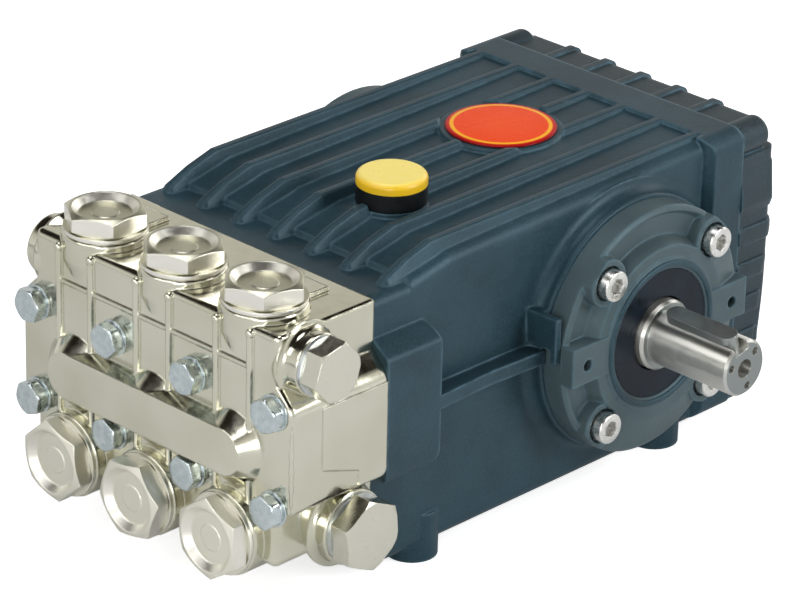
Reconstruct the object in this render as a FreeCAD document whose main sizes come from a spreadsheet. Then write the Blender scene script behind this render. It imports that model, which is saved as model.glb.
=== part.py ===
import FreeCAD, Part
import math
import os
import re
import Sketcher
from FreeCAD import Placement, Rotation, Vector

# High-pressure triplex plunger pump, in millimetres.
# +X is the shaft side, -Y the pump head, +Z up.
# The origin is the centre of the four feet, on the surface that they stand on.

SIZES = {
    # feet
    "foot_pitch_x": 118.0,
    "foot_pitch_y": 146.0,
    "foot_dia": 21.5,
    "foot_rise": 6.0,
    "foot_hole_dia": 8.0,
    "foot_hole_depth": 15.0,
    # crankcase outline
    "case_width": 137.0,
    "case_front": 107.5,
    "case_rear": 105.5,
    "case_round": 6.0,
    "case_toe": 12.0,
    "deck_front": 125.0,
    "valley_step": 2.0,
    "valley_front": 86.0,
    "valley_knee": 64.0,
    "valley_knee_height": 131.5,
    "valley_end_drop": 1.6,
    "flange_reach": 30.0,
    "flange_top": 109.2,
    "flange_slope": 7.5,
    "flange_bottom": 49.0,
    "flange_round": 6.0,
    "rear_flange_width": 146.0,
    "rear_flange_thick": 17.5,
    "rear_flange_bottom": 9.0,
    "side_rib_height": 6.0,
    "side_rib_bow": 1.6,
    "lug_width": 2.9,
    "lug_top": 93.5,
    "lug_bottom": 79.5,
    "lug_rise": 9.0,
    "lug_tail": 5.5,
    # deck ribs
    "rib_pitch": 20.25,
    "rib_count": 7,
    "rib_foot": 7.2,
    "rib_crest": 3.4,
    "rib_round": 0.9,
    "rib_tip": 96.5,
    "rib_nose": 94.5,
    "rib_nose_height": 127.7,
    "rib_brow": 83.0,
    "rib_brow_height": 132.6,
    "rib_knee": 69.5,
    "rib_height": 136.4,
    "rib_end": 88.0,
    # crankshaft and its covers
    "shaft_y": 36.0,
    "shaft_z": 72.5,
    "shaft_dia": 24.0,
    "shaft_reach": 60.5,
    "shaft_edge": 1.0,
    "collar_dia": 30.0,
    "collar_reach": 3.0,
    "boss_dia": 109.0,
    "boss_rise": 7.5,
    "boss_fillet": 5.0,
    "cover_dia": 106.0,
    "cover_rim_rise": 10.6,
    "cover_recess_rise": 8.8,
    "shoulder_dia": 76.0,
    "hub_dia": 64.6,
    "hub_rise": 16.0,
    "hub_lip": 1.0,
    "seal_dia": 55.2,
    "seal_depth": 10.0,
    "seal_gap": 0.05,
    "screw_circle": 89.4,
    "screw_pad_dia": 20.0,
    "screw_seat_rise": 11.4,
    "ear_span": 88.0,
    "ear_width": 17.6,
    "ear_height": 16.8,
    "ear_hole_dia": 5.0,
    "key_width": 8.0,
    "key_height": 7.0,
    "key_length": 35.0,
    "key_end_gap": 2.7,
    "key_seat_depth": 4.0,
    "centre_hole_dia": 8.0,
    "centre_hole_depth": 22.0,
    "end_hole_dia": 3.2,
    "end_hole_depth": 9.0,
    "end_hole_circle": 16.8,
    # rear cover
    "rear_cover_thick": 22.0,
    "rear_cover_inset": 0.5,
    "rear_cover_drop": 2.6,
    "rear_cover_round": 5.0,
    "rear_cover_slope": 6.5,
    "rear_rib_width": 3.6,
    "rear_rib_rise": 1.1,
    "rear_side_pitch": 16.0,
    "rear_side_rise": 0.9,
    "rear_boss_dia": 14.6,
    "rear_boss_length": 17.1,
    "fitting_boss_rise": 1.5,
    # head
    "head_depth": 51.3,
    "head_width": 138.0,
    "head_top": 125.4,
    "head_bottom": 26.6,
    "head_round": 3.0,
    "head_wide": 154.2,
    "head_step": 0.5,
    "head_shoulder": 104.9,
    "head_wide_top": 96.6,
    "head_wide_bottom": 51.6,
    "valve_pitch": 45.0,
    "ridge_z": 71.3,
    "ridge_height": 19.5,
    "ridge_rise": 6.8,
    "ridge_draft": 2.4,
    "cone_dia": 32.0,
    "front_rib_dia": 3.0,
    "front_rib_spread": 9.3,
    "front_rib_rise": 1.7,
    "front_rib_top": 122.6,
    "cross_rib_z": 108.6,
    "delivery_y": 142.7,
    "delivery_boss_dia": 35.2,
    "delivery_boss_rise": 3.4,
    "web_width": 12.4,
    "web_rise": 1.7,
    "web_end": 114.5,
    "suction_z": 35.8,
    "suction_boss_dia": 35.6,
    "suction_boss_rise": 5.0,
    "suction_boss_depth": 14.0,
    "cap_flats": 30.0,
    "cap_hex": 7.8,
    "cap_flange_dia": 34.0,
    "cap_flange": 1.7,
    "cap_dish_dia": 21.5,
    "cap_dish": 3.0,
    # side ports
    "outlet_y": 144.0,
    "outlet_z": 112.2,
    "outlet_boss_dia": 25.4,
    "outlet_boss_rise": 7.6,
    "outlet_flats": 22.0,
    "outlet_hex": 8.8,
    "inlet_y": 123.7,
    "inlet_z": 35.6,
    "inlet_boss_dia": 31.6,
    "inlet_boss_rise": 7.2,
    "inlet_flats": 27.0,
    "inlet_hex": 9.2,
    "washer_thick": 1.6,
    "washer_rim": 1.2,
    # oil filler
    "filler_x": 20.25,
    "filler_y": 48.9,
    "filler_dia": 29.0,
    "filler_seat": 133.9,
    "filler_gap": 0.6,
    "filler_base": 7.6,
    "filler_lid": 4.6,
    # disc pad
    "disc_pad_dia": 51.5,
    "disc_pad_height": 135.0,
    # rear fittings
    "gauge_dia": 30.0,
    "gauge_rise": 5.0,
    "drain_flats": 17.0,
    "drain_rise": 7.0,
    "drain_z": 26.0,
}

# Distances from the middle plane, all measured out from the crankcase's side.
PLACES = {
    "lug_face": "(boss_face + lug_rise)",
    "shaft_end": "(boss_face + shaft_reach)",
    "cover_rim": "(boss_face + cover_rim_rise)",
    "cover_recess": "(boss_face + cover_recess_rise)",
    "hub_face": "(boss_face + hub_rise)",
    "screw_seat": "(boss_face + screw_seat_rise)",
    "boss_face": "(case_width / 2 + boss_rise)",
}

TURN = {
    "x": Rotation(),
    "-x": Rotation(Vector(0, 0, 1), 180),
    "y": Rotation(Vector(0, 0, 1), 90),
    "-y": Rotation(Vector(0, 0, 1), -90),
    "z": Rotation(Vector(0, 1, 0), -90),
    "-z": Rotation(Vector(0, 1, 0), 90),
}
LIE = Rotation(Vector(0, 1, 0), 90)

doc = FreeCAD.newDocument("plunger_pump")
sheet = doc.addObject("Spreadsheet::Sheet", "Sizes")
for row, (alias, value) in enumerate(SIZES.items(), start=1):
    sheet.set("A%d" % row, alias)
    sheet.set("B%d" % row, str(value))
    sheet.setAlias("B%d" % row, alias)
doc.recompute()

nodes = []


def formula(text):
    """An expression with each place written out, in which each size name points at its cell of the sheet."""
    for name, place in PLACES.items():
        text = re.sub(r"\b%s\b" % name, place, text)

    def cell(match):
        word = match.group(0)
        return "Sizes." + word if word in SIZES else word
    return re.sub(r"[a-z][a-z_]+", cell, text)


def evaluate(text):
    """The present value of a formula."""
    return float(sheet.evalExpression(re.sub(r"Sizes\.", "", formula(text))))


def bind(thing, **properties):
    for name, text in properties.items():
        thing.setExpression(name, formula(text))
    return thing


def place(thing, x, y, z, rotation=None):
    thing.Placement = Placement(Vector(), rotation or Rotation())
    for key, text in zip("xyz", (x, y, z)):
        thing.setExpression("Placement.Base." + key, formula(text))
    return thing


def node(thing, label):
    """Marks an object as a finished sub-part, which is written under its label."""
    thing.Label = label
    nodes.append(thing)
    return thing


def block(name, x, y, z, length, width, height):
    """A box from its lowest corner."""
    thing = bind(doc.addObject("Part::Box", name), Length=length, Width=width, Height=height)
    return place(thing, x, y, z)


def rod(name, axis, x, y, z, dia, length):
    """A cylinder from the centre of its first face along an axis."""
    thing = bind(doc.addObject("Part::Cylinder", name), Radius="(%s) / 2" % dia, Height=length)
    return place(thing, x, y, z, TURN[axis].multiply(LIE))


def taper(name, axis, x, y, z, dia, end_dia, length):
    """A cone that runs from one diameter to another along an axis."""
    thing = bind(doc.addObject("Part::Cone", name), Radius1="(%s) / 2" % dia,
                 Radius2="(%s) / 2" % end_dia, Height=length)
    return place(thing, x, y, z, TURN[axis].multiply(LIE))


def ball(name, x, y, z, dia):
    return place(bind(doc.addObject("Part::Sphere", name), Radius="(%s) / 2" % dia), x, y, z)


def hexagon(name, axis, x, y, z, flats, length, turn=0):
    """A hexagonal bar from the centre of its first face along an axis, turned by degrees."""
    thing = doc.addObject("Part::Prism", name)
    thing.Polygon = 6
    bind(thing, Circumradius="(%s) / sqrt(3)" % flats, Height=length)
    spin = Rotation(Vector(0, 0, 1), turn)
    return place(thing, x, y, z, TURN[axis].multiply(LIE).multiply(spin))


def fuse(name, parts):
    thing = doc.addObject("Part::MultiFuse", name)
    thing.Shapes = parts
    thing.Refine = True
    return thing


def cut(name, base, tool):
    thing = doc.addObject("Part::Cut", name)
    thing.Base = base
    thing.Tool = tool
    thing.Refine = True
    return thing


def common(name, base, tool):
    thing = doc.addObject("Part::Common", name)
    thing.Base = base
    thing.Tool = tool
    return thing


def origin_plane(body, role):
    return [item for item in body.Origin.OriginFeatures if item.Role == role][0]


def hold(sketch, kind, text, value, element, point):
    """Holds one coordinate of a point of a sketch at a formula."""
    index = sketch.addConstraint(Sketcher.Constraint(kind, -1, 1, element, point, value))
    sketch.setExpression("Constraints[%d]" % index, formula(text))


def outline(body, name, plane, points, lift="0"):
    """A closed outline through corners held at two formulas; a third one rounds the corner."""
    sketch = body.newObject("Sketcher::SketchObject", name)
    sketch.AttachmentSupport = [(origin_plane(body, plane), "")]
    sketch.MapMode = "FlatFace"
    sketch.setExpression("AttachmentOffset.Base.z", formula(lift))
    corners = [Vector(evaluate(point[0]), evaluate(point[1]), 0) for point in points]
    before = []
    after = []
    arcs = []
    for index, corner in enumerate(corners):
        radius = evaluate(points[index][2]) if len(points[index]) > 2 else 0
        back = (corners[index - 1] - corner).normalize()
        ahead = (corners[(index + 1) % len(corners)] - corner).normalize()
        if radius == 0:
            before.append(corner)
            after.append(corner)
            arcs.append(None)
            continue
        half = back.getAngle(ahead) / 2
        before.append(corner + back * (radius / math.tan(half)))
        after.append(corner + ahead * (radius / math.tan(half)))
        centre = corner + (back + ahead).normalize() * (radius / math.sin(half))
        left_turn = back.cross(ahead).z < 0
        ends = (before[-1], after[-1]) if left_turn else (after[-1], before[-1])
        angles = [math.atan2(end.y - centre.y, end.x - centre.x) for end in ends]
        arcs.append((Part.ArcOfCircle(Part.Circle(centre, Vector(0, 0, 1), radius), *angles), left_turn))
    count = len(corners)
    for index in range(count):
        sketch.addGeometry(Part.LineSegment(after[index - 1], before[index]), False)
    for index, (point, corner, arc) in enumerate(zip(points, corners, arcs)):
        following = (index + 1) % count
        if arc is None:
            sketch.addConstraint(Sketcher.Constraint("Coincident", index, 2, following, 1))
            held = (index, 2)
        else:
            bend = sketch.addGeometry(arc[0], False)
            first, last = (1, 2) if arc[1] else (2, 1)
            sketch.addConstraint(Sketcher.Constraint("Tangent", index, 2, bend, first))
            sketch.addConstraint(Sketcher.Constraint("Tangent", bend, last, following, 1))
            size = sketch.addConstraint(Sketcher.Constraint("Radius", bend, arc[0].Radius))
            sketch.setExpression("Constraints[%d]" % size, formula(point[2]))
            mark = sketch.addGeometry(Part.Point(corner), True)
            sketch.addConstraint(Sketcher.Constraint("PointOnObject", mark, 1, index))
            sketch.addConstraint(Sketcher.Constraint("PointOnObject", mark, 1, following))
            held = (mark, 1)
        hold(sketch, "DistanceX", point[0], corner.x, *held)
        hold(sketch, "DistanceY", point[1], corner.y, *held)
    return sketch


def pad(body, sketch, length):
    feature = body.newObject("PartDesign::Pad", sketch.Name + "_pad")
    feature.Profile = sketch
    bind(feature, Length=length)
    sketch.Visibility = False
    return feature


def soften(body, radius, chosen):
    """Rounds those edges of a body's last feature that a test on the edge picks."""
    doc.recompute()
    tip = body.Tip
    edges = ["Edge%d" % (index + 1) for index, edge in enumerate(tip.Shape.Edges) if chosen(edge)]
    feature = body.newObject("PartDesign::Fillet", tip.Name + "_soft")
    feature.Base = (tip, edges)
    bind(feature, Radius=radius)
    return body


def slab(name, plane, points, lift, length):
    """An outline padded square to its plane: along +X, -Y or +Z."""
    body = doc.addObject("PartDesign::Body", name)
    pad(body, outline(body, name + "_outline", plane, points, lift), length)
    return body


def loft(body, name, plane, sections):
    """Straight faces through outlines that lie at several lifts off a plane, added to a body."""
    sketches = [outline(body, "%s_section_%d" % (name, number), plane, points, lift)
                for number, (lift, points) in enumerate(sections, start=1)]
    feature = body.newObject("PartDesign::AdditiveLoft", name)
    feature.Profile = sketches[0]
    feature.Sections = sketches[1:]
    feature.Ruled = True
    return feature


def turned(name, axis, x, y, z, points, start=0, sweep=360):
    """A half section of (along, radius) corners, revolved about an axis."""
    body = doc.addObject("PartDesign::Body", name)
    sketch = outline(body, name + "_section", "XY_Plane", points)
    feature = body.newObject("PartDesign::Revolution", name + "_turn")
    feature.Profile = sketch
    feature.ReferenceAxis = (sketch, ["H_Axis"])
    feature.Angle = sweep
    return place(body, x, y, z, TURN[axis].multiply(Rotation(Vector(1, 0, 0), start)))


def ring(along, inner, outer, length):
    """Corners of a plain ring for turned()."""
    return [(along, inner), ("(%s) + (%s)" % (along, length), inner),
            ("(%s) + (%s)" % (along, length), outer), (along, outer)]


# crankcase: one casting with ribbed deck, bearing bosses, head flange and feet
def deck_section(height):
    wide = "case_width / 2"
    return [("-" + wide, "shaft_z"), (wide, "shaft_z"), (wide, height, "case_round"),
            ("-" + wide, height, "case_round")]


def rib_section(crest, floor, spread="0"):
    centre = "-rib_pitch * (rib_count - 1) / 2"
    foot = "(rib_foot / 2 - %s)" % spread
    return [
        (centre + " - " + foot, "deck_front - 8"),
        (centre + " + " + foot, "deck_front - 8"),
        (centre + " + " + foot, floor),
        (centre + " + rib_crest / 2", crest, "rib_round"),
        (centre + " - rib_crest / 2", crest, "rib_round"),
        (centre + " - " + foot, floor),
    ]


def ribbed_deck():
    """The arched deck, with a row of ribs that step up at its front."""
    body = doc.addObject("PartDesign::Body", "ribbed_deck")
    loft(body, "deck_loft", "XZ_Plane", [
        ("valley_front + 1.4", deck_section("deck_front - 0.5")),
        ("valley_front", deck_section("deck_front + valley_step")),
        ("valley_knee", deck_section("valley_knee_height")),
        ("-rib_end", deck_section("rib_height - valley_end_drop")),
    ])
    bar = loft(body, "rib_loft", "XZ_Plane", [
        ("rib_tip", rib_section("deck_front - 0.2", "deck_front - 3")),
        ("rib_nose", rib_section("rib_nose_height", "deck_front - 0.3")),
        ("rib_brow", rib_section("rib_brow_height", "deck_front + valley_step")),
        ("rib_knee", rib_section("rib_height", "valley_knee_height - 1.2")),
        ("-rib_end", rib_section("rib_height", "rib_height - valley_end_drop - 0.3", "0.9")),
    ])
    row = body.newObject("PartDesign::LinearPattern", "rib_row")
    row.Originals = [bar]
    row.Direction = (bar.Profile[0], ["H_Axis"])
    bind(row, Length="rib_pitch * (rib_count - 1)", Occurrences="rib_count")
    body.Tip = row
    return body


def side_features(name, sign):
    """The pad's rib and the lug beside the bearing boss, on one side."""
    wall = "%s(case_width / 2 - 6)" % sign
    face = "%s(head_wide / 2 + head_step)" % sign
    bowed = "%s(head_wide / 2 + head_step - side_rib_bow)" % sign
    root = "%s(boss_face - 0.6)" % sign
    start = "-case_front + flange_reach - 2"
    reach = "shaft_y - cover_dia / 2"
    rib = slab("side_rib_" + name, "XY_Plane", [
        (wall, start), (face, start), (bowed, "(%s + %s) / 2" % (start, reach), "120"),
        (face, reach + " - 0.6"), (root, reach + " - 0.6"), (root, reach + " + 4"), (wall, reach + " + 4"),
    ], "shaft_z - 0.2 * side_rib_height", "side_rib_height")
    front = reach + " - 3"
    parts = [rib]
    for piece, inner, outer, base, height, width in (
            ("plate", "case_width / 2 - 6", "lug_face", "lug_bottom", "lug_top - lug_bottom", "lug_width"),
            ("tail", "lug_face - 2.5", "lug_face", "lug_bottom - lug_tail", "lug_tail + 1", "lug_width"),
            ("root", "case_width / 2 - 6", "boss_face - 0.6", "lug_bottom", "lug_top - lug_bottom", "9")):
        low = inner if sign == "" else "-(%s)" % outer
        parts.append(block("lug_%s_%s" % (piece, name), low, front, base,
                           "%s - (%s)" % (outer, inner), width, height))
    return parts


def crankcase():
    wide = "case_width / 2"
    core = slab("case_core", "XZ_Plane", [
        ("-" + wide, "foot_rise", "case_round"), (wide, "foot_rise", "case_round"),
        (wide, "deck_front", "case_round - 1"), ("-" + wide, "deck_front", "case_round - 1"),
    ], "-case_rear", "case_front + case_rear")
    side = slab("case_side", "YZ_Plane", [
        ("-case_front", "foot_rise + case_toe"), ("-case_front + case_toe", "foot_rise"),
        ("case_rear - rear_flange_thick", "foot_rise"), ("case_rear", "rear_flange_bottom"),
        ("case_rear", "deck_front + 1"), ("-case_front", "deck_front + 1"),
    ], "-" + wide, "case_width")
    flange_side = slab("head_flange_side", "YZ_Plane", [
        ("-case_front", "flange_bottom"),
        ("-case_front + flange_reach", "flange_bottom", "flange_round"),
        ("-case_front + flange_reach", "flange_top", "flange_round"),
        ("-case_front", "flange_top"),
    ], "-head_wide / 2 - head_step", "head_wide + 2 * head_step")
    flange_wide = "(head_wide / 2 + head_step)"
    flange_face = slab("head_flange_face", "XZ_Plane", [
        ("-" + flange_wide, "flange_bottom", "2"), (flange_wide, "flange_bottom", "2"),
        (flange_wide, "flange_top - flange_slope", "4"), (wide + " - 1", "flange_top"),
        ("-%s + 1" % wide, "flange_top"), ("-" + flange_wide, "flange_top - flange_slope", "4"),
    ], "case_front - flange_reach", "flange_reach")
    flange = common("head_flange", flange_side, flange_face)
    rear_wide = "rear_flange_width / 2"
    rear_start = "case_rear - rear_flange_thick"
    rear_plan = slab("rear_flange_plan", "XY_Plane", [
        ("-" + rear_wide, "case_rear"), ("-" + rear_wide, rear_start),
        ("-%s - 0.5" % wide, rear_start + " - 3.5", "3"), ("-%s + 4" % wide, rear_start + " - 3.5"),
        ("-%s + 4" % wide, rear_start), ("%s - 4" % wide, rear_start),
        ("%s - 4" % wide, rear_start + " - 3.5"), ("%s + 0.5" % wide, rear_start + " - 3.5", "3"),
        (rear_wide, rear_start), (rear_wide, "case_rear"),
    ], "rear_flange_bottom", "rib_height - rear_flange_bottom")
    rear_face = slab("rear_flange_face", "XZ_Plane", [
        ("-" + rear_wide, "rear_flange_bottom", "case_round"),
        (rear_wide, "rear_flange_bottom", "case_round"),
        (rear_wide, "rib_height", "rear_boss_dia / 2"), ("-" + rear_wide, "rib_height", "rear_boss_dia / 2"),
    ], "-case_rear - 1", "rear_flange_thick + 6")
    boss = turned("bearing_boss", "x", "0", "shaft_y", "shaft_z", [
        ("-boss_face", "0"), ("boss_face", "0"), ("boss_face", "boss_dia / 2", "1"),
        (wide, "boss_dia / 2", "boss_fillet"), (wide, "boss_dia / 2 + boss_fillet + 0.1"),
        (wide + " - 1", "boss_dia / 2 + boss_fillet + 0.1"), (wide + " - 1", "20"),
        ("-%s + 1" % wide, "20"), ("-%s + 1" % wide, "boss_dia / 2 + boss_fillet + 0.1"),
        ("-" + wide, "boss_dia / 2 + boss_fillet + 0.1"), ("-" + wide, "boss_dia / 2", "boss_fillet"),
        ("-boss_face", "boss_dia / 2", "1"),
    ])
    disc_pad = turned("disc_pad", "z", "0", "shaft_y", "deck_front", [
        ("0", "0"), ("disc_pad_height - deck_front", "0"),
        ("disc_pad_height - deck_front", "disc_pad_dia / 2", "0.8"), ("0", "disc_pad_dia / 2"),
    ])
    filler = rod("filler_boss", "z", "filler_x", "-filler_y", "deck_front - 5", "filler_dia",
                 "filler_seat - deck_front + 5")
    solids = [common("case_body", core, side), ribbed_deck(), flange,
              common("rear_flange", rear_plan, rear_face), boss, disc_pad, filler]
    solids += side_features("right", "")
    solids += side_features("left", "-")
    holes = []
    for name, along in (("left", "-foot_pitch_x / 2"), ("right", "foot_pitch_x / 2")):
        for end, across in (("front", "-foot_pitch_y / 2"), ("rear", "foot_pitch_y / 2")):
            solids.append(rod("foot_%s_%s" % (end, name), "z", along, across, "0",
                              "foot_dia", "foot_rise + 15"))
            holes.append(rod("foot_hole_%s_%s" % (end, name), "z", along, across, "0",
                             "foot_hole_dia", "foot_hole_depth"))
    holes.append(rod("disc_clear", "z", "0", "shaft_y", "disc_pad_height", "disc_pad_dia", "10"))
    holes.append(rod("filler_clear", "z", "filler_x", "-filler_y", "filler_seat",
                     "filler_dia + 2 * filler_gap", "10"))
    holes.append(rod("journal_bore", "x", "boss_face - 30", "shaft_y", "shaft_z",
                     "collar_dia + 2 * seal_gap", "31"))
    casting = cut("case_casting", fuse("case_solids", solids), fuse("case_holes", holes))
    node(casting, "crankcase")


def rear_profile(rise, inset):
    """The rear cover from the side: upright above the shaft and leaning in below it."""
    back = "case_rear + rear_cover_thick + %s" % rise
    top = "rib_height - rear_cover_drop + %s" % rise
    return [
        ("case_rear", "rear_flange_bottom + 0.5 + %s" % inset),
        (back + " - rear_cover_slope - 1", "rear_flange_bottom + 0.5 + %s" % inset, "3"),
        (back + " - rear_cover_slope", "rear_flange_bottom + 20"), (back, "shaft_z + 14"),
        (back, top, "rear_cover_round"), ("case_rear", top),
    ]


def rear_cover():
    wide = "(rear_flange_width / 2 - rear_cover_inset)"
    low = "rear_flange_bottom + 0.5"
    top = "rib_height - rear_cover_drop"
    boss_x = "(rear_flange_width / 2 - rear_boss_dia / 2)"
    boss_z = "rib_height - rear_boss_dia / 2"
    back = "case_rear + rear_cover_thick"
    face = slab("rear_face", "XZ_Plane", [
        ("-" + wide, low, "case_round"), (wide, low, "case_round"),
        (wide, boss_z + " - rear_boss_dia / 2 + 1.5", "2"),
        (boss_x + " - 3", boss_z + " - rear_boss_dia / 2 + 1.5"),
        (boss_x + " - 3", top), ("-%s + 3" % boss_x, top),
        ("-%s + 3" % boss_x, boss_z + " - rear_boss_dia / 2 + 1.5"),
        ("-" + wide, boss_z + " - rear_boss_dia / 2 + 1.5", "2"),
    ], "-(%s)" % back, "rear_cover_thick")
    side = slab("rear_side", "YZ_Plane", rear_profile("0", "0"), "-" + wide, "2 * " + wide)
    plan = slab("rear_plan", "XY_Plane", [
        ("-" + wide, "case_rear"), (wide, "case_rear"), (wide, back, "rear_cover_round"),
        ("-" + wide, back, "rear_cover_round"),
    ], low, "rib_height - (%s)" % low)
    parts = [common("rear_plate", common("rear_block", face, side), plan)]
    for index in range(5):
        parts.append(slab("rear_rib_%d" % (index + 1), "YZ_Plane", rear_profile("rear_rib_rise", "3"),
                          "rib_pitch * %d - rear_rib_width / 2" % (index - 2), "rear_rib_width"))
    for name, sign in (("left", "-"), ("right", "")):
        for index in range(4):
            height = "shaft_z - 2 + rear_side_pitch * %d" % (1 - index)
            parts.append(slab("rear_side_rib_%s_%d" % (name, index + 1), "XZ_Plane", [
                (sign + "(%s - 3)" % wide, height + " - 4"), (sign + wide, height + " - 4", "1"),
                (sign + "(%s + rear_side_rise)" % wide, height + " - 2.6", "1"),
                (sign + "(%s + rear_side_rise)" % wide, height + " + 2.6", "1"),
                (sign + wide, height + " + 4", "1"), (sign + "(%s - 3)" % wide, height + " + 4"),
            ], "-(%s) + rear_cover_slope" % back, "rear_cover_thick - rear_cover_slope"))
        parts.append(slab("rear_wedge_" + name, "XZ_Plane", [
            (sign + "(%s - 3)" % wide, "shaft_z + 23"), (sign + wide, "shaft_z + 24", "2"),
            (sign + "(%s + 1.4)" % wide, "shaft_z + 28", "2"), (sign + wide, "shaft_z + 46", "3"),
            (sign + "(%s - 3)" % wide, "shaft_z + 47"),
        ], "-(%s) + 2.5" % back, "rear_cover_thick - 2.5"))
        parts.append(turned("rear_boss_" + name, "y", sign + boss_x, "case_rear", boss_z, [
            ("0", "0"), ("rear_boss_length", "0"), ("rear_boss_length", "rear_boss_dia / 2", "2.5"),
            ("0", "rear_boss_dia / 2"),
        ]))
    parts.append(rod("gauge_boss", "y", "0", "case_rear", "shaft_z", "gauge_dia + 6",
                     "rear_cover_thick + fitting_boss_rise"))
    parts.append(rod("drain_boss", "y", "0", "case_rear", "drain_z", "drain_flats + 6",
                     "rear_cover_thick + fitting_boss_rise"))
    node(fuse("rear_solids", parts), "rear_cover")


def cover_recess(name, axis, start, sweep):
    """A shallow crescent between the hub and the rim of a bearing cover."""
    return turned(name, axis, "0", "shaft_y", "shaft_z", [
        ("cover_recess", "shoulder_dia / 2 + 2.5"), ("hub_face + 1", "shoulder_dia / 2 - 1.5"),
        ("hub_face + 1", "cover_dia / 2 + 2"), ("cover_rim + 1", "cover_dia / 2 - 1.5"),
        ("cover_recess", "cover_dia / 2 - 4"),
    ], start, sweep)


def bearing_cover(name, axis, sign, inner, recesses, label):
    face = "hub_face - hub_lip"
    disc = turned(name + "_disc", axis, "0", "shaft_y", "shaft_z", inner + [
        ("hub_face", "hub_dia / 2", "0.4"), (face, "hub_dia / 2 + 0.5"), (face, "shoulder_dia / 2"),
        ("cover_rim", "cover_dia / 2 - 1.5"), ("cover_rim - 1", "cover_dia / 2"),
        ("boss_face", "cover_dia / 2"),
    ])
    cuts = [cover_recess("%s_recess_%d" % (name, number), axis, start, sweep)
            for number, (start, sweep) in enumerate(recesses, start=1)]
    low = "boss_face" if sign == "" else "-hub_face"
    ears = block(name + "_ears", low, "shaft_y - ear_span / 2 - ear_width / 2",
                 "shaft_z + 0.6 - ear_height / 2", "hub_face - boss_face", "ear_span + ear_width",
                 "ear_height")
    eye = rod(name + "_eye", axis, sign + "(boss_face - 1)", "shaft_y", "shaft_z", "hub_dia - 2", "30")
    raised = [cut(name + "_dished", disc, fuse(name + "_recesses", cuts)), cut(name + "_ear_pair", ears, eye)]
    holes = []
    for number, (across, up) in enumerate(((-1, 1), (1, 1), (1, -1), (-1, -1)), start=1):
        where = ("shaft_y + screw_circle / sqrt(8) * %d" % across,
                 "shaft_z + screw_circle / sqrt(8) * %d" % up)
        raised.append(taper("%s_pad_%d" % (name, number), axis, sign + "boss_face", *where,
                            "screw_pad_dia + 3", "screw_pad_dia", "hub_face - hub_lip - boss_face - 0.6"))
        holes.append(rod("%s_seat_%d" % (name, number), axis, sign + "screw_seat", *where,
                         "screw_pad_dia - 5", "10"))
    for number, across in enumerate(("shaft_y - ear_span / 2", "shaft_y + ear_span / 2"), start=1):
        holes.append(rod("%s_ear_hole_%d" % (name, number), axis, sign + "(cover_rim - 4)", across,
                         "shaft_z", "ear_hole_dia", "10"))
    rim = rod(name + "_rim", axis, sign + "(boss_face - 1)", "shaft_y", "shaft_z", "cover_dia", "30")
    ear_room = block(name + "_ear_room", "boss_face" if sign == "" else "-hub_face - 5",
                     "shaft_y - ear_span", "shaft_z + 0.6 - ear_height / 2", "hub_face - boss_face + 5",
                     "2 * ear_span", "ear_height")
    whole = common(name + "_trim", fuse(name + "_solids", raised), fuse(name + "_room", [rim, ear_room]))
    node(cut(name + "_cover", whole, fuse(name + "_holes", holes)), label)


def bearing_covers():
    socket = [
        ("boss_face", "seal_dia / 2 - 4"), ("hub_face - seal_depth", "seal_dia / 2 - 4"),
        ("hub_face - seal_depth", "seal_dia / 2"), ("hub_face - 0.8", "seal_dia / 2"),
        ("hub_face", "seal_dia / 2 + 0.8"),
    ]
    bearing_cover("drive", "x", "", socket, [(50, 80), (140, 36), (184, 36)], "drive_bearing_cover")
    closed = [("boss_face", "0"), ("hub_face", "0")]
    bearing_cover("blind", "-x", "-", closed, [(50, 80), (5, 35), (-40, 36), (140, 36), (184, 36)],
                  "blind_bearing_cover")


def turn_shaft(thing):
    """Turns a piece a little about the shaft's axis, so that its key leans towards the head."""
    turn = 15
    return place(thing, "0", "shaft_y - shaft_y * cos(%d) + shaft_z * sin(%d)" % (turn, turn),
                 "shaft_z - shaft_y * sin(%d) - shaft_z * cos(%d)" % (turn, turn),
                 Rotation(Vector(1, 0, 0), turn))


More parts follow.
